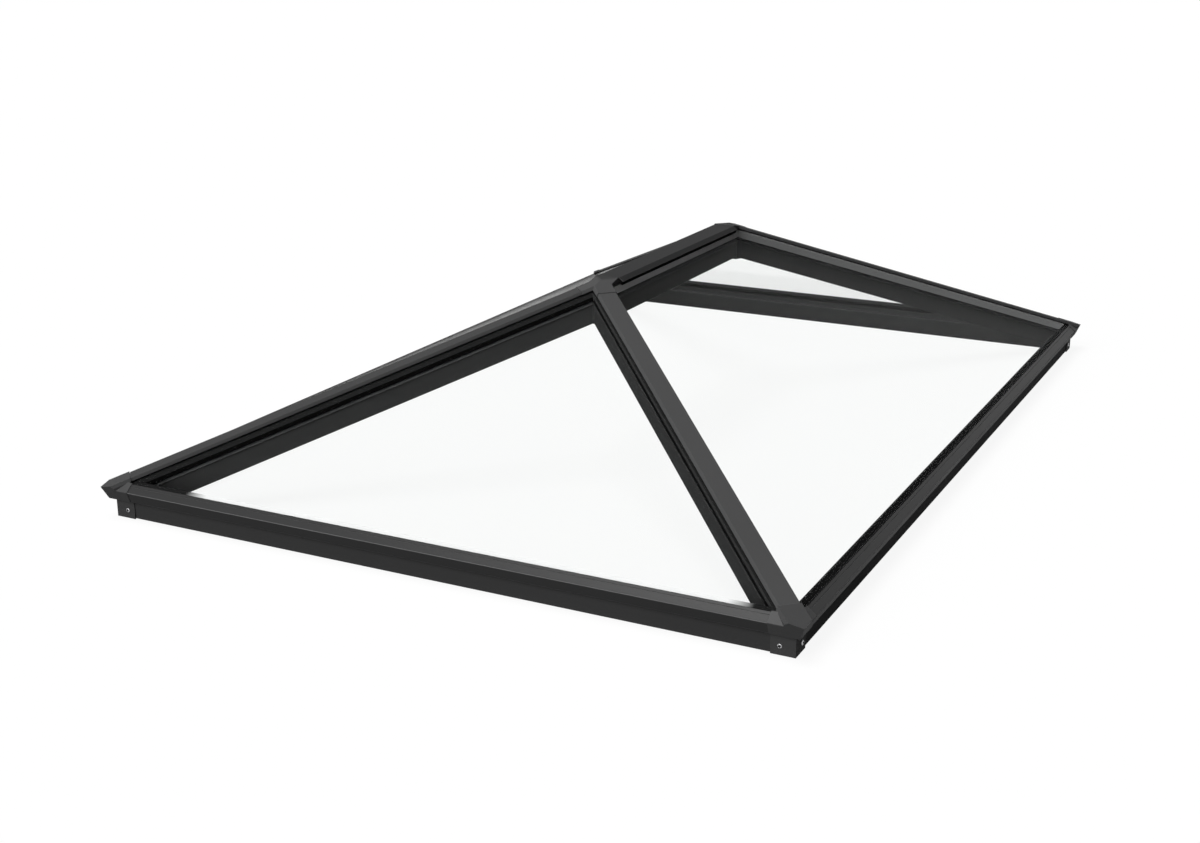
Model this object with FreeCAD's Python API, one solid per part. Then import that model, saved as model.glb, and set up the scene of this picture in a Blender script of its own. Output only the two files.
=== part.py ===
import FreeCAD, Part
import math
import os

V = FreeCAD.Vector

# Overall size, measured over the vertical faces of the eaves beams (mm).
LENGTH = 2250.0
WIDTH = 1500.0
PITCH_DEG = 25.0

# Double-glazed unit: outer pane, cavity, inner pane. GLASS_TOP is its height over the eaves face.
PANE = 4.0
CAVITY = 16.0
GLASS_TOP = 78.0
GLASS_EAVES_OVERHANG = 2.0
GLASS_EDGE_FROM_HIP = 12.0
GLASS_EDGE_FROM_RIDGE = 12.0
SPACER_INSET = 5.0
SPACER_WIDTH = 9.0
TAPE = 1.5
TAPE_INSET = 4.0

# Eaves beam and the kerb seal under it.
SEAL_THICKNESS = 1.5
SEAL_INSET = 5.0
BEAM_WIDTH = 40.0
BEAM_LEDGE_Z = 48.0
BEAM_LEG_WIDTH = 20.0
BEAM_ROUND = 1.2

# Eaves trim: the overhanging nose, with a glazing bead between it and the glass.
NOSE_OUT = 20.2
NOSE_Z = 63.5
LIP_OUT = 11.0
LIP_Z = 41.0
TRIM_WALL = 3.0
NOSE_ROUND = 1.5
BEAD_OUT = 3.2
BEAD_Z = 77.5
BEAD_WIDTH = 4.2
BEAD_DEPTH = 4.0
BEAD_GAP = 0.5

# Hip cap and hip rafter, heights taken at the corner of the eaves.
HIP_TOP_HALF = 19.7
HIP_TOP_Z = 77.2
HIP_EDGE_HALF = 23.5
CAP_WALL = 2.2
CAP_ROUND = 1.0
RAFTER_HALF = 21.5
RAFTER_FLANGE_HALF = 24.0
RAFTER_DEPTH = 83.5
RAFTER_ROUND = 1.5
FLANGE_EDGE = 4.0
FLANGE_CHAMFER = 3.0
WEB_HALF = 6.0
STRIP_IN = 14.0
STRIP_OUT = 18.5

# Ridge cap and ridge beam, heights taken from the meeting line of the glass.
RIDGE_TOP_HALF = 26.5
RIDGE_RISE = 0.6
RIDGE_EDGE_HALF = 37.5
RIDGE_EDGE_DROP = 7.9
RIDGE_HALF = 25.0
RIDGE_FLANGE_HALF = 28.0
RIDGE_DEPTH = 87.3
RIDGE_SEAL_INSET = 3.5
RIDGE_SEAL_WIDTH = 4.5

# Three-way junction at each end of the ridge.
HIP_SEAM = 50.0
RIDGE_SEAM = 40.0
BOSS_HIP_REACH = 24.0
BOSS_RIDGE_REACH = 15.4
COVER_PROUD = 1.0
COVER_WALL = 3.0
GLASS_CLEARANCE = 0.5
SEAM_GAP = 0.9

# Corner cover.
BODY_PROUD = 2.0
CORNER_LEG = 45.0
CORNER_PROUD = 1.2
CORNER_RISE = 1.0
CORNER_SEAM = 28.4
CORNER_TOP_HALF = 22.0

HALF_L = LENGTH / 2
HALF_W = WIDTH / 2
SLOPE = math.tan(math.radians(PITCH_DEG))
ROOT2 = math.sqrt(2.0)
HIP_SLOPE = SLOPE / ROOT2
HIP_RUN = HALF_W * ROOT2
APEX_X = HALF_L - HALF_W
STEEP = 1.0 / math.cos(math.radians(PITCH_DEG))
PANE_UP = PANE * STEEP
GLASS_BOTTOM = GLASS_TOP - (2 * PANE + CAVITY) * STEEP
SEAT = GLASS_BOTTOM - TAPE
HIP_UNDER_CAP = HIP_TOP_Z - CAP_WALL
RAFTER_BOTTOM = HIP_TOP_Z - RAFTER_DEPTH
RIDGE_TOP = GLASS_TOP + SLOPE * HALF_W + RIDGE_RISE
RIDGE_UNDER_CAP = RIDGE_TOP - CAP_WALL
NOSE_FALL = (BEAD_Z - NOSE_Z) / (NOSE_OUT - BEAD_OUT)
UNDERCUT = (NOSE_OUT - LIP_OUT) / (NOSE_Z - LIP_Z)

os.makedirs("parts", exist_ok=True)


def solid_between(loop_a, loop_b):
    """Closed solid between two matching loops of corner points."""
    faces = []
    count = len(loop_a)
    for i in range(count):
        k = (i + 1) % count
        wire = Part.makePolygon([loop_a[i], loop_a[k], loop_b[k], loop_b[i], loop_a[i]])
        faces.append(Part.Face(wire))
    for loop in (loop_a, loop_b):
        faces.append(Part.Face(Part.makePolygon(loop + [loop[0]])))
    solid = Part.Solid(Part.Shell(faces))
    if solid.Volume < 0:
        solid.reverse()
    return solid


def eased(profile, corners, size):
    """Profile with the named corners rounded off in short chords."""
    result = []
    for i, (u, z) in enumerate(profile):
        if i not in corners:
            result.append((u, z))
            continue
        ends = []
        for other in (profile[i - 1], profile[(i + 1) % len(profile)]):
            length = math.hypot(other[0] - u, other[1] - z)
            ends.append((u + (other[0] - u) * size / length, z + (other[1] - z) * size / length))
        for k in range(4):
            t = k / 3.0
            weights = ((1 - t) ** 2, 2 * t * (1 - t), t ** 2)
            points = (ends[0], (u, z), ends[1])
            result.append((sum(w * p[0] for w, p in zip(weights, points)),
                           sum(w * p[1] for w, p in zip(weights, points))))
    return result


def both_hands(right):
    """Completes a profile given down its right side from the top."""
    return right + [(-u, z) for u, z in reversed(right)]


def save(name, shape):
    shape.exportStep("parts/" + name + ".step")


def largest(shape):
    return max(shape.Solids, key=lambda s: s.Volume)


def mirrored_in_x(shape):
    return shape.mirror(V(0, 0, 0), V(1, 0, 0))


def mirrored_in_y(shape):
    return shape.mirror(V(0, 0, 0), V(0, 1, 0))


def every_corner(front_left):
    """The front left piece and its three mirror images."""
    front = [front_left, mirrored_in_x(front_left)]
    return front + [mirrored_in_y(shape) for shape in front]


def around(name, front_left):
    places = ("_front_left", "_front_right", "_back_left", "_back_right")
    for place, shape in zip(places, every_corner(front_left)):
        save(name + place, shape)


def both_ends(name, left):
    save(name + "_left", left)
    save(name + "_right", mirrored_in_x(left))


def opposite(pair):
    """Front, back, left and right pieces from the front and left ones."""
    front, left = pair
    return [front, mirrored_in_y(front), left, mirrored_in_x(left)]


def four_sides(name, pair):
    for place, shape in zip(("_front", "_back", "_left", "_right"), opposite(pair)):
        save(name + place, shape)


def front_run(profile, end_of):
    """Length along the front eaves; profile is (outward, height)."""
    left = [V(-end_of(o), -HALF_W - o, z) for o, z in profile]
    right = [V(end_of(o), -HALF_W - o, z) for o, z in profile]
    return solid_between(left, right)


def left_run(profile, end_of):
    """Length along the left eaves; profile is (outward, height)."""
    front = [V(-HALF_L - o, -end_of(o), z) for o, z in profile]
    back = [V(-HALF_L - o, end_of(o), z) for o, z in profile]
    return solid_between(front, back)


def mitred_pair(profile):
    return (front_run(profile, lambda o: HALF_L + o), left_run(profile, lambda o: HALF_W + o))


def square_pair(profile, shortfall):
    """Front and left lengths cut square, short of the corner."""
    return (front_run(profile, lambda o: HALF_L - shortfall), left_run(profile, lambda o: HALF_W - shortfall))


def hip_point(r, u, z):
    """Front left hip: r along the plan diagonal from the eaves corner, u across it to the front."""
    x = -HALF_L + (r + u) / ROOT2
    y = -HALF_W + (r - u) / ROOT2
    return V(x, y, z + r * HIP_SLOPE)


def hip_run(profile, r0, r1):
    return solid_between([hip_point(r0, u, z) for u, z in profile], [hip_point(r1, u, z) for u, z in profile])


def ridge_run(profile, x0, x1):
    return solid_between([V(x0, y, z) for y, z in profile], [V(x1, y, z) for y, z in profile])


def hip_glass(u, z):
    return z - HIP_SLOPE * abs(u)


def ridge_glass(y, z):
    return z + SLOPE * (HALF_W - abs(y))


def trim_top(out):
    """Height of the trim's upper face at a distance outward."""
    return NOSE_Z + (NOSE_OUT - out) * NOSE_FALL


def slab(plan, height_of, low, high):
    """Piece of sloping sheet with a given plan outline."""
    bottom = [V(x, y, height_of(x, y) + low) for x, y in plan]
    top = [V(x, y, height_of(x, y) + high) for x, y in plan]
    return solid_between(bottom, top)


def front_height(x, y):
    return SLOPE * (y + HALF_W)


def left_height(x, y):
    return SLOPE * (x + HALF_L)


def front_outline(inset):
    """Plan outline of the front unit, drawn in by inset from its edges."""
    side = (GLASS_EDGE_FROM_HIP + inset) * ROOT2
    low = GLASS_EAVES_OVERHANG - inset
    top = GLASS_EDGE_FROM_RIDGE + inset
    x_low = HALF_L + low - side
    x_top = APEX_X + top - side
    return [(-x_low, -HALF_W - low), (x_low, -HALF_W - low), (x_top, -top), (-x_top, -top)]


def left_outline(inset):
    side = (GLASS_EDGE_FROM_HIP + inset) * ROOT2
    low = GLASS_EAVES_OVERHANG - inset
    y_low = HALF_W + low - side
    return [(-HALF_L - low, -y_low), (-HALF_L - low, y_low), (-APEX_X - side, 0.0)]


def glass_units():
    """Outer panes, spacer frames and inner panes of the front and left units."""
    cavity_top = GLASS_TOP - PANE_UP
    cavity_low = GLASS_BOTTOM + PANE_UP
    outer = []
    inner = []
    spacer = []
    for outline, height in ((front_outline, front_height), (left_outline, left_height)):
        outer.append(slab(outline(0.0), height, cavity_top, GLASS_TOP))
        inner.append(slab(outline(0.0), height, GLASS_BOTTOM, cavity_low))
        ring = slab(outline(SPACER_INSET), height, cavity_low, cavity_top)
        opening = slab(outline(SPACER_INSET + SPACER_WIDTH), height, cavity_low - PANE, cavity_top + PANE)
        spacer.append(ring.cut(opening))
    return outer, spacer, inner


def eaves_beam():
    """Box with an inner ledge and a sloping leg under the glass."""
    leg_in = -BEAM_LEG_WIDTH
    profile = [(0, SEAL_THICKNESS), (-BEAM_WIDTH, SEAL_THICKNESS), (-BEAM_WIDTH, BEAM_LEDGE_Z)]
    profile += [(leg_in, BEAM_LEDGE_Z), (leg_in, SEAT - SLOPE * leg_in), (0, SEAT)]
    return mitred_pair(eased(profile, (1, 2), BEAM_ROUND))


def eaves_trim():
    """Nose profile of one wall thickness, open towards the glass edge."""
    start = BEAD_OUT + BEAD_WIDTH + BEAD_GAP
    lip_top = LIP_Z + TRIM_WALL
    nose_inside = NOSE_OUT - TRIM_WALL
    profile = [(start, trim_top(start)), (NOSE_OUT, NOSE_Z), (LIP_OUT, LIP_Z), (0, LIP_Z), (0, lip_top)]
    profile += [(LIP_OUT - TRIM_WALL / 2, lip_top), (nose_inside, NOSE_Z)]
    profile += [(start, trim_top(start) - TRIM_WALL)]
    return square_pair(eased(profile, (1, 2), NOSE_ROUND), CORNER_LEG)


def eaves_bead():
    """Glazing bead between the glass edge and the trim, with an open joint beside the trim."""
    glass = GLASS_EAVES_OVERHANG
    outer = BEAD_OUT + BEAD_WIDTH
    floor = trim_top(outer) - BEAD_DEPTH
    profile = [(glass, GLASS_TOP - SLOPE * glass), (BEAD_OUT, BEAD_Z), (outer, trim_top(outer))]
    profile += [(outer, floor), (glass, floor)]
    return square_pair(profile, CORNER_LEG)


def eaves_tape():
    """Glazing tape between the beam leg and the inner pane."""
    near = -TAPE_INSET
    far = TAPE_INSET - BEAM_LEG_WIDTH
    profile = [(near, SEAT - SLOPE * near), (near, GLASS_BOTTOM - SLOPE * near)]
    profile += [(far, GLASS_BOTTOM - SLOPE * far), (far, SEAT - SLOPE * far)]
    return square_pair(profile, CORNER_LEG)


def kerb_seal():
    """Rubber strips under the four beams, stopped short of the corners."""
    near = -SEAL_INSET
    far = -BEAM_WIDTH + SEAL_INSET
    profile = [(near, 0), (far, 0), (far, SEAL_THICKNESS), (near, SEAL_THICKNESS)]
    return square_pair(profile, CORNER_LEG)


def bar_section(web_top, seat_of, half, flange_half, bottom):
    """Inner box with glazing flanges and a web that stands between the panes."""
    flange_low = seat_of(flange_half) - FLANGE_EDGE
    lip = flange_half - FLANGE_CHAMFER
    right = [(WEB_HALF, web_top), (WEB_HALF, seat_of(WEB_HALF)), (lip, seat_of(lip))]
    right += [(flange_half, seat_of(flange_half) - FLANGE_CHAMFER), (flange_half, flange_low)]
    right += [(half, flange_low - (flange_half - half)), (half, bottom)]
    return eased(both_hands(right), (6, 7), RAFTER_ROUND)


def cap_section(top_half, top_z, edge_half, foot_of):
    """Flat-topped pressing with sloping sides, open below; foot_of gives the height of its edge."""
    inner = edge_half - CAP_WALL
    right = [(top_half, top_z), (edge_half, foot_of(edge_half)), (inner, foot_of(inner))]
    right += [(top_half - CAP_WALL / 2, top_z - CAP_WALL)]
    return eased(both_hands(right), (0, 7), CAP_ROUND)


def hip_rafter(beams):
    section = bar_section(HIP_UNDER_CAP, lambda u: hip_glass(u, SEAT), RAFTER_HALF, RAFTER_FLANGE_HALF,
                          RAFTER_BOTTOM)
    run = hip_run(section, CORNER_SEAM, HIP_RUN - BOSS_HIP_REACH)
    for beam in beams:
        run = run.cut(beam)
    return largest(run)


def over_hip_glass(u):
    return hip_glass(u, GLASS_TOP) + GLASS_CLEARANCE


def hip_cap():
    section = cap_section(HIP_TOP_HALF, HIP_TOP_Z, HIP_EDGE_HALF, over_hip_glass)
    return hip_run(section, CORNER_SEAM + SEAM_GAP, HIP_RUN - HIP_SEAM - SEAM_GAP)


def strip_pair(run, inner, outer, low, high):
    """Two sealing strips, one each side of a web."""
    pair = []
    for hand in (1, -1):
        near = hand * inner
        far = hand * outer
        pair.append(run([(near, low(near)), (far, low(far)), (far, high(far)), (near, high(near))]))
    return Part.makeCompound(pair)


def along_hip(profile):
    return hip_run(profile, CORNER_LEG, HIP_RUN - HIP_SEAM)


def along_ridge(profile):
    reach = APEX_X - RIDGE_SEAM - SEAM_GAP
    return ridge_run(profile, -reach, reach)


def under_cap(u, top_half, under, edge_half, foot_of):
    """Height of a cap's underside: level below the flat, falling below the sloping side."""
    fold = top_half - CAP_WALL / 2
    edge = edge_half - CAP_WALL
    fall = (under - foot_of(edge)) / (edge - fold)
    return under - fall * max(0.0, abs(u) - fold)


def under_hip_cap(u):
    return under_cap(u, HIP_TOP_HALF, HIP_UNDER_CAP, HIP_EDGE_HALF, over_hip_glass)


def hip_seal():
    """Seals between the outer panes and the underside of the hip cap."""
    return strip_pair(along_hip, STRIP_IN, STRIP_OUT, lambda u: hip_glass(u, GLASS_TOP), under_hip_cap)


def hip_tape():
    return strip_pair(along_hip, STRIP_IN, STRIP_OUT, lambda u: hip_glass(u, SEAT),
                      lambda u: hip_glass(u, GLASS_BOTTOM))


def under_ridge_cap(y):
    return under_cap(y, RIDGE_TOP_HALF, RIDGE_UNDER_CAP, RIDGE_EDGE_HALF, ridge_foot)


def ridge_seal():
    """Seals below the sloping sides of the ridge cap, close to its edges."""
    outer = RIDGE_EDGE_HALF - RIDGE_SEAL_INSET
    inner = outer - RIDGE_SEAL_WIDTH
    return strip_pair(along_ridge, inner, outer, lambda y: ridge_glass(y, GLASS_TOP), under_ridge_cap)


def ridge_tape():
    return strip_pair(along_ridge, STRIP_IN, STRIP_OUT, lambda y: ridge_glass(y, SEAT),
                      lambda y: ridge_glass(y, GLASS_BOTTOM))


def ridge_beam():
    reach = APEX_X - BOSS_RIDGE_REACH
    section = bar_section(RIDGE_UNDER_CAP, lambda y: ridge_glass(y, SEAT), RIDGE_HALF, RIDGE_FLANGE_HALF,
                          RIDGE_TOP - RIDGE_DEPTH)
    return ridge_run(section, -reach, reach)


def ridge_foot(y):
    """Height of the ridge cap's turned-in edge."""
    return RIDGE_TOP - RIDGE_EDGE_DROP - (RIDGE_EDGE_HALF - y) / 2


def ridge_cap():
    return along_ridge(cap_section(RIDGE_TOP_HALF, RIDGE_TOP, RIDGE_EDGE_HALF, ridge_foot))


def under_hips(shape, top_z):
    """Takes off whatever stands above the planes of the two hips at this end."""
    reach = HIP_SEAM * 4
    tall = both_hands([(reach, top_z + reach), (reach, top_z)])
    above = hip_run(tall, HIP_RUN - reach, HIP_RUN + reach)
    return shape.cut(above).cut(mirrored_in_y(above))


def y_shape(hip_section, ridge_section, hip_reach, ridge_reach, hip_top):
    """Two hip arms and a ridge arm, brought down to the lowest of the three tops."""
    apex = -APEX_X
    arm = hip_run(hip_section, HIP_RUN - hip_reach, HIP_RUN + RIDGE_TOP_HALF)
    front_half = Part.makeBox(LENGTH, WIDTH, 2 * RIDGE_TOP, V(-LENGTH, -WIDTH, 0))
    arm = arm.common(front_half)
    ridge_plane = max(z for y, z in ridge_section)
    arm = arm.common(Part.makeBox(LENGTH, WIDTH, ridge_plane, V(apex - LENGTH / 2, -WIDTH, 0)))
    ridge_arm = under_hips(ridge_run(ridge_section, apex - RIDGE_TOP_HALF, apex + ridge_reach), hip_top)
    return arm.fuse([mirrored_in_y(arm), ridge_arm])


def ridge_end_cover():
    """Y-shaped cap: hip arms with sloping sides, an upright ridge arm, hollow below."""
    p = COVER_PROUD
    hip_edge = over_hip_glass(HIP_EDGE_HALF)
    side = HIP_EDGE_HALF + p
    inner = side - COVER_WALL
    hip_top = HIP_TOP_Z + p
    hip_out = both_hands([(HIP_TOP_HALF + p, hip_top), (side, hip_edge + p), (side, over_hip_glass(side))])
    hip_in = both_hands([(HIP_TOP_HALF - p, HIP_UNDER_CAP), (inner, hip_edge), (inner, 0)])
    ridge_half = RIDGE_TOP_HALF + p
    ridge_inner = ridge_half - COVER_WALL
    ridge_floor = ridge_glass(ridge_inner, GLASS_TOP) + GLASS_CLEARANCE
    ridge_out = both_hands([(ridge_half, RIDGE_TOP + p), (ridge_half, ridge_floor)])
    ridge_in = both_hands([(ridge_inner, RIDGE_UNDER_CAP), (ridge_inner, 0)])
    body = y_shape(hip_out, ridge_out, HIP_SEAM, RIDGE_SEAM, hip_top)
    void = y_shape(hip_in, ridge_in, 2 * HIP_SEAM, 2 * RIDGE_SEAM, HIP_UNDER_CAP)
    return largest(body.cut(void).removeSplitter())


def boss_plan():
    """Outline of the junction block, from the apex; it meets each bar square."""
    near = (BOSS_HIP_REACH - RAFTER_HALF) / ROOT2
    far = (BOSS_HIP_REACH + RAFTER_HALF) / ROOT2
    half = [(BOSS_RIDGE_REACH, -RIDGE_HALF), (-near, -far), (-far, -near)]
    return half + [(x, -y) for x, y in reversed(half)]


def ridge_end_boss(cover):
    """Faceted block inside the junction, with webs that carry the Y cover."""
    apex = -APEX_X
    plan = boss_plan()
    low = RAFTER_BOTTOM + HIP_SLOPE * (HIP_RUN - BOSS_HIP_REACH)
    high = SEAT + SLOPE * (HALF_W - (BOSS_HIP_REACH + RAFTER_HALF) / ROOT2)
    bottom = [V(apex + x, y, low) for x, y in plan]
    block = solid_between(bottom, [V(p.x, p.y, high) for p in bottom])
    reach = solid_between(bottom, [V(p.x, p.y, RIDGE_TOP) for p in bottom])
    hip_web = hip_run(both_hands([(WEB_HALF, HIP_UNDER_CAP), (WEB_HALF, 0)]), HIP_RUN - HIP_SEAM, HIP_RUN)
    ridge_profile = both_hands([(WEB_HALF, RIDGE_UNDER_CAP), (WEB_HALF, low)])
    ridge_web = ridge_run(ridge_profile, apex, apex + BOSS_RIDGE_REACH)
    webs = hip_web.fuse([mirrored_in_y(hip_web), ridge_web])
    return largest(block.fuse(webs.common(reach)).cut(cover).removeSplitter())


def corner_legs():
    """The eaves profile wrapped round the corner, a little proud of beam and trim."""
    glass = GLASS_EAVES_OVERHANG
    nose = NOSE_OUT + CORNER_PROUD
    lip = LIP_OUT + CORNER_PROUD
    top = trim_top(glass) + CORNER_PROUD
    profile = [(BODY_PROUD, 0), (BODY_PROUD, LIP_Z), (lip, LIP_Z), (nose, NOSE_Z + CORNER_PROUD / 2)]
    profile += [(glass, top), (glass, SEAT), (0, SEAT), (0, 0)]
    profile = eased(profile, (3,), NOSE_ROUND)
    corner = [V(-HALF_L - o, -HALF_W - o, z) for o, z in profile]
    left = solid_between(corner, [V(-HALF_L - o, -HALF_W + CORNER_LEG, z) for o, z in profile])
    front = solid_between(corner, [V(-HALF_L + CORNER_LEG, -HALF_W - o, z) for o, z in profile])
    return left.fuse(front)


def behind_nose(reach):
    """Everything behind the two sloping faces that meet at the corner's tip."""
    lip = LIP_OUT + CORNER_PROUD
    high = GLASS_TOP + reach
    profile = [(lip, LIP_Z), (lip + (high - LIP_Z) * UNDERCUT, high), (-reach, high), (-reach, LIP_Z)]
    left = solid_between([V(-HALF_L - o, -HALF_W - reach, z) for o, z in profile],
                         [V(-HALF_L - o, -HALF_W + reach, z) for o, z in profile])
    front = solid_between([V(-HALF_L - reach, -HALF_W - o, z) for o, z in profile],
                          [V(-HALF_L + reach, -HALF_W - o, z) for o, z in profile])
    return left.common(front)


def corner_cover(cutters):
    """Profile legs, and the raised strip that carries the hip line down to a pointed tip."""
    top_z = HIP_TOP_Z + CORNER_RISE
    side = CORNER_TOP_HALF + HIP_EDGE_HALF - HIP_TOP_HALF
    side_z = over_hip_glass(side) + CORNER_RISE
    inner = STRIP_OUT
    over_glass = [(CORNER_TOP_HALF, top_z), (side, side_z), (side, over_hip_glass(side))]
    over_glass += [(inner, over_hip_glass(inner)), (inner, HIP_UNDER_CAP)]
    over_nose = [(CORNER_TOP_HALF, top_z), (side, side_z), (side, LIP_Z)]
    reach = 2 * CORNER_LEG
    strip = hip_run(both_hands(over_glass), 0, CORNER_SEAM)
    point = hip_run(both_hands(over_nose), -reach, WEB_HALF).common(behind_nose(reach))
    above = hip_run(both_hands([(CORNER_TOP_HALF, top_z + reach), (CORNER_TOP_HALF, top_z)]), -reach, reach)
    cover = corner_legs().cut(above).fuse([strip, point])
    for cutter in cutters:
        cover = cover.cut(cutter)
    return largest(cover.removeSplitter())


beams = eaves_beam()
trims = eaves_trim()
beads = eaves_bead()
outer_glass, spacers, inner_glass = glass_units()
rafter = hip_rafter(beams)
y_cover = ridge_end_cover()
inside_corner = list(beams) + outer_glass + inner_glass + spacers + [rafter]

four_sides("eaves_beam", beams)
four_sides("eaves_trim", trims)
four_sides("outer_glass", outer_glass)
four_sides("glass_spacer", spacers)
four_sides("inner_glass", inner_glass)
around("hip_rafter", rafter)
around("hip_cap", hip_cap())
around("corner_cover", corner_cover(inside_corner))
both_ends("ridge_end_cover", y_cover)
both_ends("ridge_end_boss", ridge_end_boss(y_cover))
save("ridge_beam", ridge_beam())
save("ridge_cap", ridge_cap())
save("eaves_bead", Part.makeCompound(opposite(beads)))
save("cap_seal", Part.makeCompound(every_corner(hip_seal()) + [ridge_seal()]))
save("glazing_tape", Part.makeCompound(every_corner(hip_tape()) + opposite(eaves_tape()) + [ridge_tape()]))
save("kerb_seal", Part.makeCompound(opposite(kerb_seal())))
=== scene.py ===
import math

import bmesh
import bpy
from mathutils import Matrix, Vector


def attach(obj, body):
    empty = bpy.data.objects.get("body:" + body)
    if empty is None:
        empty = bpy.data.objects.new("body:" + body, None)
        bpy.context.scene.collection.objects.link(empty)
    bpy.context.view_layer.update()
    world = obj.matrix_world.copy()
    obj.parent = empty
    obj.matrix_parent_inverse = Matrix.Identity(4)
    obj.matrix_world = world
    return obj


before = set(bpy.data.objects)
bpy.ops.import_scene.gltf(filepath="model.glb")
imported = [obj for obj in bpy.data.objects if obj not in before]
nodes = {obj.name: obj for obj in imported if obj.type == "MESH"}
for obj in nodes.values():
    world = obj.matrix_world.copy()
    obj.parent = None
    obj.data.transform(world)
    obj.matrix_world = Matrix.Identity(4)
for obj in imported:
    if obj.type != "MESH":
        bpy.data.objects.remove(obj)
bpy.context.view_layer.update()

# Eaves beams: four mitred aluminium extrusions that sit on the roof kerb and carry the glass.
# They are powder coated dark grey, a satin skin with a fine orange-peel texture.
SIDES = ("front", "back", "left", "right")
CORNERS = ("front_left", "front_right", "back_left", "back_right")
ENDS = ("left", "right")
SCALAR = "NodeSocketFloat"
VECTOR = "NodeSocketVector"


def new_group(name, inputs, outputs):
    """Empty shader group with named sockets, each given as (name, type, default)."""
    group = bpy.data.node_groups.new(name, "ShaderNodeTree")
    for in_out, sockets in (("INPUT", inputs), ("OUTPUT", outputs)):
        for label, kind, default in sockets:
            socket = group.interface.new_socket(name=label, in_out=in_out, socket_type=kind)
            if default is not None:
                socket.default_value = default
    entry = group.nodes.new("NodeGroupInput")
    leave = group.nodes.new("NodeGroupOutput")
    return group, entry.outputs, leave.inputs


def add_node(tree, kind, values=(), **settings):
    """Node with its settings and the unlinked values of its sockets."""
    node = tree.nodes.new(kind)
    for label, value in settings.items():
        setattr(node, label, value)
    for label, value in dict(values).items():
        node.inputs[label].default_value = value
    return node


PEEL_SIZE = 0.0016
DRIFT_SIZE = 0.35
SPECKLES_PER_METRE = 1900.0


def coating_grain():
    """Group: the peel, speckle and slow drift of a sprayed and baked powder coat."""
    inputs = [("Place", VECTOR, None), ("Peel Size", SCALAR, PEEL_SIZE), ("Drift Size", SCALAR, DRIFT_SIZE)]
    outputs = [("Peel", SCALAR, None), ("Speckle", SCALAR, None), ("Drift", SCALAR, None)]
    group, entry, leave = new_group("coating grain", inputs, outputs)
    link = group.links.new
    for target, size, detail in (("Peel", "Peel Size", 2.0), ("Drift", "Drift Size", 3.0)):
        scale = add_node(group, "ShaderNodeMath", {0: 1.0}, operation="DIVIDE")
        noise = add_node(group, "ShaderNodeTexNoise", {"Detail": detail, "Roughness": 0.55})
        link(entry[size], scale.inputs[1])
        link(entry["Place"], noise.inputs["Vector"])
        link(scale.outputs[0], noise.inputs["Scale"])
        link(noise.outputs[0], leave[target])
    speckle = add_node(group, "ShaderNodeTexNoise", {"Scale": SPECKLES_PER_METRE, "Detail": 1.0})
    link(entry["Place"], speckle.inputs["Vector"])
    link(speckle.outputs[0], leave["Speckle"])
    return group


# Part of a face's normal at which each mask starts and is full.
LEVEL_BAND = (0.97, 0.985)
UPWARD_BAND = (0.45, 0.65)
STEEP_BAND = (0.93, 0.86)
ACROSS_BAND = (0.75, 0.85)
RUN_FADE = 0.05
PANE_SLOPE = math.tan(math.radians(25.0))


def band(group, limits):
    return add_node(group, "ShaderNodeMapRange", {"From Min": limits[0], "From Max": limits[1]})


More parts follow.
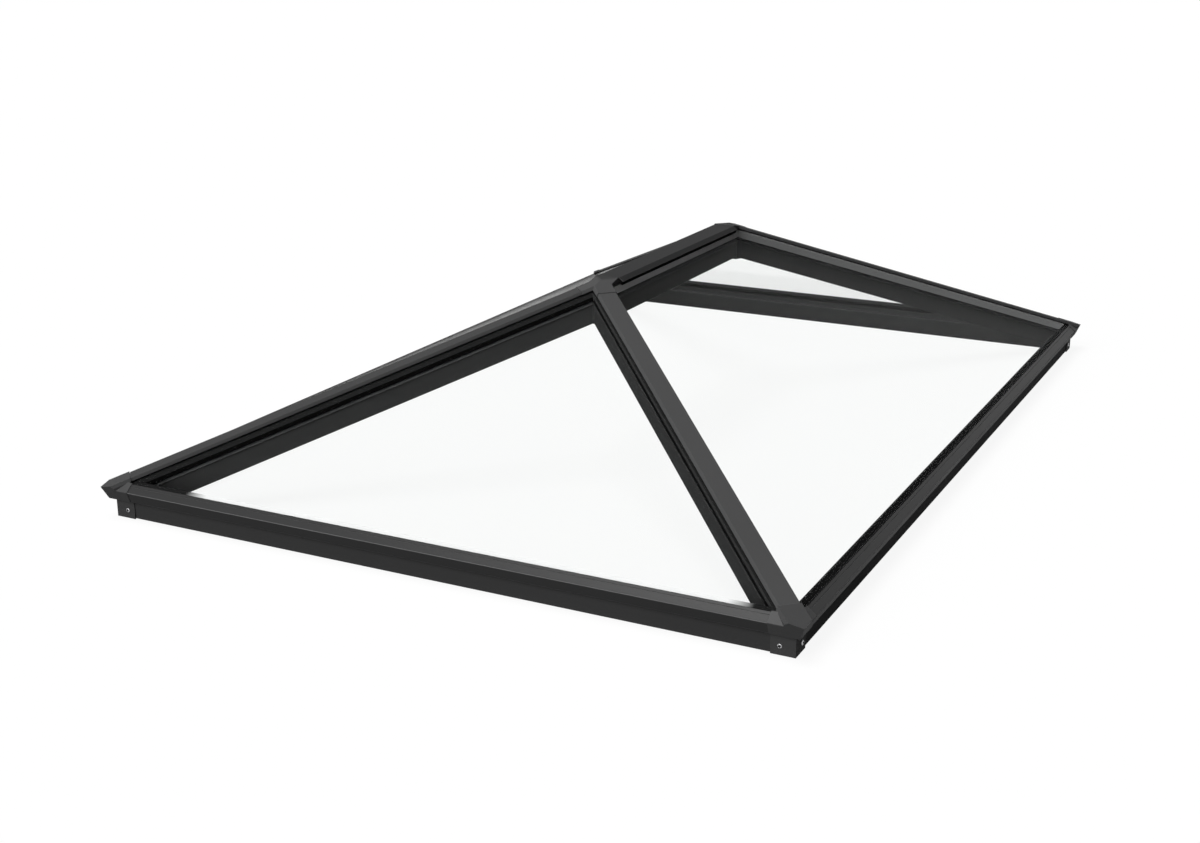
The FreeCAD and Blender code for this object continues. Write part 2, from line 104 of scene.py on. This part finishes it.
def face_lie():
    """Group: masks of faces that lie level, look up, look up steeply, look across or top a low eaves run.

    Deep is what lies below a plane parallel to the end panes, given by its height at the middle.
    """
    inputs = [("Normal", VECTOR, None), ("Place", VECTOR, None), ("Low Height", SCALAR, 0.0)]
    inputs += [("Low Middle", SCALAR, 0.0), ("Low Reach", SCALAR, 1.0), ("Deep Height", SCALAR, 0.0)]
    outputs = [(label, SCALAR, None) for label in ("Level", "Upward", "Steep", "Across", "Low", "Deep")]
    group, entry, leave = new_group("face lie", inputs, outputs)
    look = add_node(group, "ShaderNodeSeparateXYZ")
    place = add_node(group, "ShaderNodeSeparateXYZ")
    level = band(group, LEVEL_BAND)
    rise = band(group, UPWARD_BAND)
    fall = band(group, STEEP_BAND)
    steep = add_node(group, "ShaderNodeMath", operation="MULTIPLY")
    turned = add_node(group, "ShaderNodeMath", operation="ABSOLUTE")
    across = band(group, ACROSS_BAND)
    under = add_node(group, "ShaderNodeMath", operation="LESS_THAN")
    along = add_node(group, "ShaderNodeMath", operation="SUBTRACT")
    aside = add_node(group, "ShaderNodeMath", operation="ABSOLUTE")
    fade = add_node(group, "ShaderNodeMath", {1: RUN_FADE}, operation="SUBTRACT")
    within = add_node(group, "ShaderNodeMapRange")
    run = add_node(group, "ShaderNodeMath", operation="MULTIPLY")
    low = add_node(group, "ShaderNodeMath", operation="MULTIPLY")
    endways = add_node(group, "ShaderNodeMath", operation="ABSOLUTE")
    slope = add_node(group, "ShaderNodeMath", {1: PANE_SLOPE}, operation="MULTIPLY_ADD")
    deep = add_node(group, "ShaderNodeMath", operation="LESS_THAN")
    link = group.links.new
    link(entry["Normal"], look.inputs[0])
    link(entry["Place"], place.inputs[0])
    for node in (level, rise, fall):
        link(look.outputs["Z"], node.inputs["Value"])
    link(rise.outputs["Result"], steep.inputs[0])
    link(fall.outputs["Result"], steep.inputs[1])
    link(look.outputs["Y"], turned.inputs[0])
    link(turned.outputs[0], across.inputs["Value"])
    link(place.outputs["Z"], under.inputs[0])
    link(entry["Low Height"], under.inputs[1])
    link(place.outputs["Y"], along.inputs[0])
    link(entry["Low Middle"], along.inputs[1])
    link(along.outputs[0], aside.inputs[0])
    link(aside.outputs[0], within.inputs["Value"])
    link(entry["Low Reach"], within.inputs["From Min"])
    link(entry["Low Reach"], fade.inputs[0])
    link(fade.outputs[0], within.inputs["From Max"])
    link(under.outputs[0], run.inputs[0])
    link(within.outputs["Result"], run.inputs[1])
    link(run.outputs[0], low.inputs[0])
    link(rise.outputs["Result"], low.inputs[1])
    link(place.outputs["X"], endways.inputs[0])
    link(endways.outputs[0], slope.inputs[0])
    link(place.outputs["Z"], slope.inputs[2])
    link(slope.outputs[0], deep.inputs[0])
    link(entry["Deep Height"], deep.inputs[1])
    link(level.outputs["Result"], leave["Level"])
    link(rise.outputs["Result"], leave["Upward"])
    link(steep.outputs[0], leave["Steep"])
    link(across.outputs["Result"], leave["Across"])
    link(low.outputs[0], leave["Low"])
    link(deep.outputs[0], leave["Deep"])
    return group


GRAIN = coating_grain()
LIE = face_lie()
DRIFT_SHARE = 0.7
SPECKLE_SHARE = 0.6
ROUGHNESS_SPREAD = 0.06
PEEL_STRENGTH = 0.12
PEEL_DEPTH = 0.0004
GLOSS_ROUGHNESS = 0.3


def powder_coat(name, dark, light, roughness, specular, gloss=None, painted_tones=(), limits=()):
    """Satin coat: colour between dark and light, roughness round a middle value, peel in the bump.

    Gloss is a smooth top coat on the faces of one mask. Each painted tone covers a share of the colour on
    the faces of its mask with a grey tone; this is how the coats below get their painted shade and painted
    light.
    Limits are values for the masks that need a place.
    """
    material = bpy.data.materials.new(name)
    material.use_nodes = True
    tree = material.node_tree
    shader = tree.nodes["Principled BSDF"]
    shader.inputs["Specular IOR Level"].default_value = specular
    place = add_node(tree, "ShaderNodeTexCoord")
    grain = add_node(tree, "ShaderNodeGroup", node_tree=GRAIN)
    speckle = add_node(tree, "ShaderNodeMath", {1: SPECKLE_SHARE}, operation="MULTIPLY")
    blend = add_node(tree, "ShaderNodeMath", {1: DRIFT_SHARE}, operation="MULTIPLY_ADD")
    colour = add_node(tree, "ShaderNodeMix", {"A": (*dark, 1.0), "B": (*light, 1.0)}, data_type="RGBA")
    rough = add_node(tree, "ShaderNodeMapRange")
    rough.inputs["To Min"].default_value = roughness - ROUGHNESS_SPREAD
    rough.inputs["To Max"].default_value = roughness + ROUGHNESS_SPREAD
    bump = add_node(tree, "ShaderNodeBump", {"Strength": PEEL_STRENGTH, "Distance": PEEL_DEPTH})
    link = tree.links.new
    link(place.outputs["Object"], grain.inputs["Place"])
    link(grain.outputs["Speckle"], speckle.inputs[0])
    link(grain.outputs["Drift"], blend.inputs[0])
    link(speckle.outputs[0], blend.inputs[2])
    link(blend.outputs[0], colour.inputs["Factor"])
    link(grain.outputs["Drift"], rough.inputs["Value"])
    link(rough.outputs["Result"], shader.inputs["Roughness"])
    link(grain.outputs["Peel"], bump.inputs["Height"])
    link(bump.outputs["Normal"], shader.inputs["Normal"])
    if gloss or painted_tones:
        surface = add_node(tree, "ShaderNodeNewGeometry")
        lie = add_node(tree, "ShaderNodeGroup", limits, node_tree=LIE)
        link(surface.outputs["Normal"], lie.inputs["Normal"])
        link(place.outputs["Object"], lie.inputs["Place"])
    if gloss:
        shader.inputs["Coat Roughness"].default_value = GLOSS_ROUGHNESS
        weight = add_node(tree, "ShaderNodeMath", {1: gloss["weight"]}, operation="MULTIPLY")
        link(lie.outputs[gloss["mask"]], weight.inputs[0])
        link(weight.outputs[0], shader.inputs["Coat Weight"])
    for painted_tone in painted_tones:
        share = add_node(tree, "ShaderNodeMath", {1: painted_tone["share"]}, operation="MULTIPLY")
        grey = (painted_tone["tone"], painted_tone["tone"], painted_tone["tone"], 1.0)
        cover = add_node(tree, "ShaderNodeMix", {"B": grey}, data_type="RGBA")
        link(lie.outputs[painted_tone["mask"]], share.inputs[0])
        link(share.outputs[0], cover.inputs["Factor"])
        link(colour.outputs["Result"], cover.inputs["A"])
        colour = cover
    link(colour.outputs["Result"], shader.inputs["Base Color"])
    return material


WELD_REACH = 0.00002
FLAT_ANGLE = math.radians(0.4)
SHARP_ANGLE = math.radians(24.0)
ARRIS_STEPS = 2
LARGE_FACE_WEIGHT = 50


def join_faces(piece):
    """Joins the corners that neighbouring faces share."""
    weld = piece.modifiers.new("joined faces", "WELD")
    weld.merge_threshold = WELD_REACH


def ease_edges(piece, width):
    """Small radius on every sharp arris, coloured paler there as a painted highlight."""
    join_faces(piece)
    flat = piece.modifiers.new("whole faces", "DECIMATE")
    flat.decimate_type = "DISSOLVE"
    flat.angle_limit = FLAT_ANGLE
    bevel = piece.modifiers.new("eased arrises", "BEVEL")
    bevel.width = width
    bevel.segments = ARRIS_STEPS
    bevel.limit_method = "ANGLE"
    bevel.angle_limit = SHARP_ANGLE
    piece.data.materials.append(ARRIS_HIGHLIGHT_COAT)
    bevel.material = len(piece.data.materials) - 1
    normals = piece.modifiers.new("even faces", "WEIGHTED_NORMAL")
    normals.weight = LARGE_FACE_WEIGHT


def dress(names, material, arris=0.0):
    """Gives CAD nodes their finish and, where arris is a width, eased edges."""
    for name in names:
        piece = nodes[name]
        piece.material_slots[0].material = material
        if arris:
            ease_edges(piece, arris)


# A paler copy of the coat for the eased arrises: a painted highlight along every sharp edge.
ARRIS_HIGHLIGHT_COAT = powder_coat("painted highlight on arrises", dark=(0.105, 0.105, 0.106), light=(0.150, 0.150, 0.151),
                        roughness=0.46, specular=0.01)
# Faces that look up are darkened by a share towards black: painted shade.
FRAME_COAT = powder_coat("dark satin powder coat", dark=(0.040, 0.040, 0.0405), light=(0.054, 0.054, 0.0545),
                         roughness=0.52, specular=0.003,
                         painted_tones=[{"mask": "Upward", "share": 0.6, "tone": 0.0}])
dress(["eaves_beam_" + side for side in SIDES], FRAME_COAT, arris=0.0008)

# Kerb seal, glazing tape and cap seals: extruded black rubber, matt, with a slightly dusty skin.
# The first lies under the beams, the tapes carry the glass, the cap seals press on it from above.
RUBBER_DARK = (0.009, 0.009, 0.0092, 1.0)
RUBBER_LIGHT = (0.018, 0.018, 0.0183, 1.0)


def rubber_skin():
    material = bpy.data.materials.new("black seal rubber")
    material.use_nodes = True
    tree = material.node_tree
    shader = tree.nodes["Principled BSDF"]
    shader.inputs["Specular IOR Level"].default_value = 0.0
    place = add_node(tree, "ShaderNodeTexCoord")
    grain = add_node(tree, "ShaderNodeGroup", {"Peel Size": 0.0006, "Drift Size": 0.12}, node_tree=GRAIN)
    colour = add_node(tree, "ShaderNodeMix", {"A": RUBBER_DARK, "B": RUBBER_LIGHT}, data_type="RGBA")
    rough = add_node(tree, "ShaderNodeMapRange", {"To Min": 0.68, "To Max": 0.86})
    bump = add_node(tree, "ShaderNodeBump", {"Strength": 0.2, "Distance": 0.0002})
    link = tree.links.new
    link(place.outputs["Object"], grain.inputs["Place"])
    link(grain.outputs["Drift"], colour.inputs["Factor"])
    link(colour.outputs["Result"], shader.inputs["Base Color"])
    link(grain.outputs["Speckle"], rough.inputs["Value"])
    link(rough.outputs["Result"], shader.inputs["Roughness"])
    link(grain.outputs["Peel"], bump.inputs["Height"])
    link(bump.outputs["Normal"], shader.inputs["Normal"])
    return material


RUBBER = rubber_skin()
dress(["kerb_seal", "glazing_tape", "cap_seal"], RUBBER)

# Hip rafters, ridge beam and the two junction bosses: the bearing bars under the glass.
# Extrusions with glazing flanges, and cast blocks where three bars meet, coated as the beams are.
# The ridge beam and the back rafters get a paler copy of the coat as painted light, with painted highlights
# on their steep flange faces.
INNER_COAT = powder_coat("inner bar powder coat", dark=(0.038, 0.038, 0.0385), light=(0.050, 0.050, 0.0505),
                         roughness=0.56, specular=0.004)
dress(["hip_rafter_front_left", "hip_rafter_front_right"], INNER_COAT, arris=0.0008)
# Paler copy of the inner bar coat as painted light; faces that look up steeply are paler still as painted
# highlights.
BEAM_PAINTED_LIGHT_COAT = powder_coat("bar coat with painted light", dark=(0.080, 0.080, 0.0805), light=(0.106, 0.106, 0.1065),
                        roughness=0.56, specular=0.004,
                        painted_tones=[{"mask": "Steep", "share": 0.3, "tone": 0.4}])
dress(["hip_rafter_back_left", "hip_rafter_back_right", "ridge_beam"], BEAM_PAINTED_LIGHT_COAT, arris=0.0008)
dress(["ridge_end_boss_" + end for end in ENDS], INNER_COAT, arris=0.0006)

# Glass units: two clear polished panes on each slope, held apart by a matt composite spacer bar
# that is bonded between them with butyl. The spacers are lit and shaded copies of one composite:
# grey along the long panes as painted light and black at their eaves as painted shade, dark on the end
# panes with painted shade on their upward and lower faces, and with a pale run along the eaves.
GLASS_COLOUR = (0.985, 0.989, 0.987, 1.0)
CLEAR_TINT = (0.992, 0.994, 0.993, 1.0)
SHADOW_TINT = (0.948, 0.952, 0.950, 1.0)


def clear_glass():
    """Polished glass that lets the lamps through, and is plain clear where it is seen edge on."""
    material = bpy.data.materials.new("clear polished glass")
    material.use_nodes = True
    tree = material.node_tree
    shader = tree.nodes["Principled BSDF"]
    shader.inputs["Base Color"].default_value = GLASS_COLOUR
    shader.inputs["Roughness"].default_value = 0.0
    shader.inputs["IOR"].default_value = 1.022
    shader.inputs["Transmission Weight"].default_value = 1.0
    path = add_node(tree, "ShaderNodeLightPath")
    slant = add_node(tree, "ShaderNodeLayerWeight", {"Blend": 0.5})
    edge_on = add_node(tree, "ShaderNodeMapRange", {"From Min": 0.9, "From Max": 0.96, "To Max": 0.85})
    lighting = add_node(tree, "ShaderNodeMath", operation="MAXIMUM")
    share = add_node(tree, "ShaderNodeMath", operation="MAXIMUM")
    tint = add_node(tree, "ShaderNodeMix", {"A": CLEAR_TINT, "B": SHADOW_TINT}, data_type="RGBA")
    clear = add_node(tree, "ShaderNodeBsdfTransparent")
    mix = add_node(tree, "ShaderNodeMixShader")
    link = tree.links.new
    link(slant.outputs["Facing"], edge_on.inputs["Value"])
    link(path.outputs["Is Shadow Ray"], lighting.inputs[0])
    link(path.outputs["Is Diffuse Ray"], lighting.inputs[1])
    link(lighting.outputs[0], share.inputs[0])
    link(edge_on.outputs["Result"], share.inputs[1])
    link(lighting.outputs[0], tint.inputs["Factor"])
    link(tint.outputs["Result"], clear.inputs["Color"])
    link(share.outputs[0], mix.inputs[0])
    link(shader.outputs[0], mix.inputs[1])
    link(clear.outputs[0], mix.inputs[2])
    link(mix.outputs[0], tree.nodes["Material Output"].inputs["Surface"])
    return material


GLASS = clear_glass()
dress(["outer_glass_" + side for side in SIDES], GLASS)
dress(["inner_glass_" + side for side in SIDES], GLASS)
EAVES_RUN_TOP = 0.0792
PALE_RUN = 0.620
PALE_MIDDLE = -0.050
MID_CAVITY = 0.5894
BUTYL_LINE = 0.00015
# Dark copy for the end panes: upward faces and the faces below the mid plane of the cavity are turned black
# as painted shade; along the eaves a pale run covers this and fades back to black near the corners.
END_SPACER_SHADE_COAT = powder_coat("spacer composite with painted shade", dark=(0.038, 0.038, 0.0384), light=(0.054, 0.054, 0.0545),
                     roughness=0.6, specular=0.0,
                     painted_tones=[{"mask": "Upward", "share": 0.68, "tone": 0.0},
                            {"mask": "Deep", "share": 0.85, "tone": 0.0},
                            {"mask": "Low", "share": 0.97, "tone": 0.9}],
                     limits={"Low Height": EAVES_RUN_TOP, "Low Middle": PALE_MIDDLE, "Low Reach": PALE_RUN,
                             "Deep Height": MID_CAVITY})
dress(["glass_spacer_left", "glass_spacer_right"], END_SPACER_SHADE_COAT)
# Grey copy for the long panes as painted light, paler still on faces that look across as painted light; the
# upward faces of the eaves run are turned black as painted shade.
LONG_SPACER_LIGHT_AND_SHADE = powder_coat("spacer composite with painted light and shade", dark=(0.25, 0.25, 0.252), light=(0.33, 0.33, 0.332),
                          roughness=0.6, specular=0.0, gloss={"mask": "Across", "weight": 0.8},
                          painted_tones=[{"mask": "Low", "share": 0.97, "tone": 0.0},
                                 {"mask": "Across", "share": 0.6, "tone": 0.6}],
                          limits={"Low Height": EAVES_RUN_TOP})
dress(["glass_spacer_front", "glass_spacer_back"], LONG_SPACER_LIGHT_AND_SHADE)
for side in SIDES:
    spacer = nodes["glass_spacer_" + side]
    join_faces(spacer)
    inset = spacer.modifiers.new("butyl line", "DISPLACE")
    inset.strength = -BUTYL_LINE
    inset.mid_level = 0.0

# Caps of the hips and the ridge, and the Y-shaped covers where they meet.
# Pressed and cast aluminium, held down over the seals, with the same satin coat as the bars.
# The ridge cap and two of the hip caps have darker copies of the coat as painted shade, and the level faces
# of the other caps and covers carry painted shade too.
# Level faces are darkened by a share towards black: painted shade.
CAP_COAT = powder_coat("cap powder coat", dark=(0.059, 0.059, 0.0595), light=(0.078, 0.078, 0.0786),
                       roughness=0.52, specular=0.006,
                       painted_tones=[{"mask": "Level", "share": 0.48, "tone": 0.0}])
dress(["hip_cap_front_left", "hip_cap_back_right"], CAP_COAT, arris=0.0006)
# Darker copy of the cap coat for two of the hip caps: painted shade.
HIP_CAP_SHADE_COAT = powder_coat("cap coat with painted shade", dark=(0.045, 0.045, 0.0454), light=(0.059, 0.059, 0.0595),
                        roughness=0.52, specular=0.006)
dress(["hip_cap_front_right", "hip_cap_back_left"], HIP_CAP_SHADE_COAT, arris=0.0006)
dress(["ridge_end_cover_" + end for end in ENDS], CAP_COAT, arris=0.0007)
# Darker copy of the cap coat for the ridge cap: painted shade.
RIDGE_SHADE_COAT = powder_coat("ridge coat with painted shade", dark=(0.025, 0.025, 0.0254), light=(0.034, 0.034, 0.0344),
                         roughness=0.52, specular=0.006)
dress(["ridge_cap"], RIDGE_SHADE_COAT, arris=0.0006)

# Eaves trims and the slim beads against the glass: extrusions clipped on after glazing.
# Their upper faces have a smoother skin than the other profiles and pick up the sky.
# Upward faces are darkened by a share towards black: painted shade.
TRIM_COAT = powder_coat("smooth trim coat", dark=(0.036, 0.036, 0.0365), light=(0.048, 0.048, 0.0485),
                        roughness=0.42, specular=0.006, gloss={"mask": "Steep", "weight": 0.29},
                        painted_tones=[{"mask": "Upward", "share": 0.4, "tone": 0.0}])
dress(["eaves_trim_" + side for side in SIDES], TRIM_COAT, arris=0.0006)
dress(["eaves_bead"], TRIM_COAT)

# Corner covers: die-cast pieces that wrap the eaves mitres and carry the hip line down to a point.
# Each is pushed on over the ends of the trims and held by two screws, and has the same coat.
CORNER_COAT = powder_coat("corner cover coat", dark=(0.052, 0.052, 0.0525), light=(0.067, 0.067, 0.0676),
                          roughness=0.46, specular=0.006, gloss={"mask": "Steep", "weight": 0.15})
dress(["corner_cover_" + corner for corner in CORNERS], CORNER_COAT, arris=0.0009)

# Cover screws: stainless pan-head screws with a pressed cross recess.
# One goes through each leg of a corner cover into the eaves beam behind it.
STEEL_DARK = (0.30, 0.30, 0.31, 1.0)
STEEL_LIGHT = (0.50, 0.50, 0.51, 1.0)


def steel_skin():
    material = bpy.data.materials.new("bright screw steel")
    material.use_nodes = True
    tree = material.node_tree
    shader = tree.nodes["Principled BSDF"]
    shader.inputs["Metallic"].default_value = 1.0
    place = add_node(tree, "ShaderNodeTexCoord")
    noise = add_node(tree, "ShaderNodeTexNoise", {"Scale": 900.0, "Detail": 3.0})
    colour = add_node(tree, "ShaderNodeMix", {"A": STEEL_DARK, "B": STEEL_LIGHT}, data_type="RGBA")
    rough = add_node(tree, "ShaderNodeMapRange", {"To Min": 0.2, "To Max": 0.38})
    link = tree.links.new
    link(place.outputs["Object"], noise.inputs["Vector"])
    link(noise.outputs[0], colour.inputs["Factor"])
    link(colour.outputs["Result"], shader.inputs["Base Color"])
    link(noise.outputs[0], rough.inputs["Value"])
    link(rough.outputs["Result"], shader.inputs["Roughness"])
    return material


STEEL = steel_skin()
# The cross recess gets a near-black coat: painted shade on its walls and floor.
RECESS_SHADE_COAT = powder_coat("painted shade in the recess", dark=(0.004, 0.004, 0.004), light=(0.011, 0.011, 0.011),
                     roughness=0.7, specular=0.0)
HEAD_RADIUS = 0.00465
HEAD_HEIGHT = 0.0024
HEAD_STEPS = 40
DOME_STEPS = 6
FOOT_SHARE = 0.98
RIM_SHARE = 0.25
CROWN_SHARE = 0.7
INNER_SHARE = 0.62
DOME_SHARE = 0.38
TOP_SHARE = 0.3


def screw_mesh():
    """Pan head turned from its profile."""
    shape = bmesh.new()
    profile = [(HEAD_RADIUS * FOOT_SHARE, 0.0), (HEAD_RADIUS, HEAD_HEIGHT * RIM_SHARE)]
    for k in range(1, DOME_STEPS + 1):
        angle = math.radians(90.0 * k / DOME_STEPS)
        radius = HEAD_RADIUS * (INNER_SHARE + DOME_SHARE * math.cos(angle))
        profile.append((radius, HEAD_HEIGHT * (RIM_SHARE + CROWN_SHARE * math.sin(angle))))
    profile.append((HEAD_RADIUS * TOP_SHARE, HEAD_HEIGHT))
    rings = []
    for radius, height in profile:
        ring = []
        for i in range(HEAD_STEPS):
            turn = 2 * math.pi * i / HEAD_STEPS
            ring.append(shape.verts.new((radius * math.cos(turn), radius * math.sin(turn), height)))
        rings.append(ring)
    for low, high in zip(rings, rings[1:]):
        for i in range(HEAD_STEPS):
            k = (i + 1) % HEAD_STEPS
            shape.faces.new((low[i], low[k], high[k], high[i]))
    shape.faces.new(rings[-1])
    shape.faces.new(list(reversed(rings[0])))
    mesh = bpy.data.meshes.new("cover screw")
    shape.to_mesh(mesh)
    shape.free()
    return mesh


RECESS_REACH = 0.0037
RECESS_HALF = 0.00115
RECESS_DEPTH = 0.0022
RECESS_FOOT = 0.55
RECESS_MOUTH = 1.05
RECESS_RISE = 1.1


def recess_mesh():
    """Tapered cross, a little taller than the head."""
    shape = bmesh.new()
    half, reach = RECESS_HALF, RECESS_REACH
    outline = [(reach, -half), (reach, half), (half, half), (half, reach), (-half, reach), (-half, half)]
    outline += [(-x, -y) for x, y in outline]
    floor_z = HEAD_HEIGHT - RECESS_DEPTH
    mouth_z = HEAD_HEIGHT * RECESS_RISE
    low = [shape.verts.new((x * RECESS_FOOT, y * RECESS_FOOT, floor_z)) for x, y in outline]
    high = [shape.verts.new((x * RECESS_MOUTH, y * RECESS_MOUTH, mouth_z)) for x, y in outline]
    count = len(outline)
    for i in range(count):
        k = (i + 1) % count
        shape.faces.new((low[i], low[k], high[k], high[i]))
    shape.faces.new(high)
    shape.faces.new(list(reversed(low)))
    mesh = bpy.data.meshes.new("cross recess")
    shape.to_mesh(mesh)
    shape.free()
    return mesh


def finished_screw():
    """Screw head with the cross cut into it."""
    head = bpy.data.objects.new("screw blank", screw_mesh())
    head.data.materials.append(STEEL)
    cutter = bpy.data.objects.new("recess cutter", recess_mesh())
    cutter.data.materials.append(RECESS_SHADE_COAT)
    for piece in (head, cutter):
        bpy.context.scene.collection.objects.link(piece)
    cut = head.modifiers.new("recess", "BOOLEAN")
    cut.material_mode = "TRANSFER"
    cut.operation = "DIFFERENCE"
    cut.solver = "EXACT"
    cut.object = cutter
    bpy.context.view_layer.update()
    graph = bpy.context.evaluated_depsgraph_get()
    mesh = bpy.data.meshes.new_from_object(head.evaluated_get(graph))
    for piece in (head, cutter):
        bpy.data.objects.remove(piece)
    return mesh


SCREW = finished_screw()
HALF_LENGTH = 1.125
HALF_WIDTH = 0.750
COVER_PROUD = 0.002
SCREW_FROM_CORNER = 0.0275
SCREW_HEIGHT = 0.0175
FIRST_TURN = 0.35
SIDE_TURN = 0.6
NEXT_TURN = 0.47


def place_screw(name, position, outward, turn):
    screw = bpy.data.objects.new(name, SCREW)
    bpy.context.scene.collection.objects.link(screw)
    facing = Vector(outward).to_track_quat("Z", "Y").to_matrix().to_4x4()
    screw.matrix_world = Matrix.Translation(position) @ facing @ Matrix.Rotation(turn, 4, "Z")
    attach(screw, "root")


turn = FIRST_TURN
for corner in CORNERS:
    along = -1 if corner.endswith("left") else 1
    across = -1 if corner.startswith("front") else 1
    end_face = along * (HALF_LENGTH + COVER_PROUD)
    side_face = across * (HALF_WIDTH + COVER_PROUD)
    in_y = across * (HALF_WIDTH - SCREW_FROM_CORNER)
    in_x = along * (HALF_LENGTH - SCREW_FROM_CORNER)
    end_place = (end_face, in_y, SCREW_HEIGHT)
    side_place = (in_x, side_face, SCREW_HEIGHT)
    place_screw("cover_screw_end_" + corner, end_place, (along, 0, 0), turn)
    place_screw("cover_screw_side_" + corner, side_place, (0, across, 0), turn + SIDE_TURN)
    turn += NEXT_TURN

# Stage: a plain pale floor that keeps the soft shadow, two wide soft lights and a white surround.
# The camera stands at the photograph's height and angle, with its lens.
FLOOR_GLOW = 0.91
FLOOR_BODY = (0.09, 0.09, 0.09, 1.0)
FLOOR_REACH = 60.0
FLOOR_DROP = 0.0002
WHITE = (1.0, 1.0, 1.0, 1.0)
SURROUND_LIGHT = 0.05
HALF_A_BOUNCE = 0.5


def seen_directly(tree):
    """Value of 1 for camera, mirror and glass rays that have met no matt surface."""
    path = add_node(tree, "ShaderNodeLightPath")
    mirror = add_node(tree, "ShaderNodeMath", operation="MAXIMUM")
    clear = add_node(tree, "ShaderNodeMath", operation="MAXIMUM")
    unspread = add_node(tree, "ShaderNodeMath", {1: HALF_A_BOUNCE}, operation="LESS_THAN")
    shown = add_node(tree, "ShaderNodeMath", operation="MULTIPLY")
    link = tree.links.new
    link(path.outputs["Is Camera Ray"], mirror.inputs[0])
    link(path.outputs["Is Glossy Ray"], mirror.inputs[1])
    link(mirror.outputs[0], clear.inputs[0])
    link(path.outputs["Is Transmission Ray"], clear.inputs[1])
    link(path.outputs["Diffuse Depth"], unspread.inputs[0])
    link(clear.outputs[0], shown.inputs[0])
    link(unspread.outputs[0], shown.inputs[1])
    return shown.outputs[0]


def pale_floor():
    """Floor that shows near white and takes a faint shadow, but lights the lantern little."""
    material = bpy.data.materials.new("pale floor")
    material.use_nodes = True
    tree = material.node_tree
    tree.nodes.remove(tree.nodes["Principled BSDF"])
    lift = add_node(tree, "ShaderNodeMath", {1: FLOOR_GLOW}, operation="MULTIPLY")
    glow = add_node(tree, "ShaderNodeEmission")
    body = add_node(tree, "ShaderNodeBsdfDiffuse", {"Color": FLOOR_BODY})
    both = add_node(tree, "ShaderNodeAddShader")
    link = tree.links.new
    link(seen_directly(tree), lift.inputs[0])
    link(lift.outputs[0], glow.inputs["Strength"])
    link(glow.outputs[0], both.inputs[0])
    link(body.outputs[0], both.inputs[1])
    link(both.outputs[0], tree.nodes["Material Output"].inputs["Surface"])
    return material


floor_mesh = bpy.data.meshes.new("studio floor")
floor_corners = [(FLOOR_REACH * x, FLOOR_REACH * y, 0) for x, y in ((-1, -1), (1, -1), (1, 1), (-1, 1))]
floor_mesh.from_pydata(floor_corners, [], [(0, 1, 2, 3)])
floor_mesh.materials.append(pale_floor())
floor = bpy.data.objects.new("studio_floor", floor_mesh)
floor.location.z = -FLOOR_DROP
bpy.context.scene.collection.objects.link(floor)


def soft_light(name, direction, strength, spread):
    lamp = bpy.data.lights.new(name, "SUN")
    lamp.energy = strength
    lamp.angle = math.radians(spread)
    light = bpy.data.objects.new(name, lamp)
    light.rotation_mode = "QUATERNION"
    light.rotation_quaternion = Vector(direction).to_track_quat("Z", "Y")
    bpy.context.scene.collection.objects.link(light)


soft_light("left_light", direction=(-0.87, 0.28, 0.41), strength=2.3, spread=56.0)
soft_light("top_light", direction=(-0.12, 0.20, 0.97), strength=2.2, spread=34.0)

world = bpy.data.worlds.new("studio surround")
world.use_nodes = True
bpy.context.scene.world = world
tree = world.node_tree
dim = tree.nodes["Background"]
dim.inputs["Color"].default_value = WHITE
dim.inputs["Strength"].default_value = SURROUND_LIGHT
bright = add_node(tree, "ShaderNodeBackground", {"Color": WHITE, "Strength": 1.0})
mix = add_node(tree, "ShaderNodeMixShader")
tree.links.new(seen_directly(tree), mix.inputs[0])
tree.links.new(dim.outputs[0], mix.inputs[1])
tree.links.new(bright.outputs[0], mix.inputs[2])
tree.links.new(mix.outputs[0], tree.nodes["World Output"].inputs["Surface"])

lens = bpy.data.cameras.new("photograph lens")
lens.sensor_width = 36.0
lens.lens = 49.292
lens.clip_end = 200.0
camera = bpy.data.objects.new("photograph_camera", lens)
camera.location = (-3.5470, -1.5983, 1.2387)
yaw = math.radians(26.748)
pitch = math.radians(17.771)
sight = Vector((math.cos(pitch) * math.cos(yaw), math.cos(pitch) * math.sin(yaw), -math.sin(pitch)))
camera.rotation_mode = "QUATERNION"
camera.rotation_quaternion = sight.to_track_quat("-Z", "Y")
bpy.context.scene.collection.objects.link(camera)
bpy.context.scene.camera = camera
bpy.context.scene.view_settings.view_transform = "Standard"
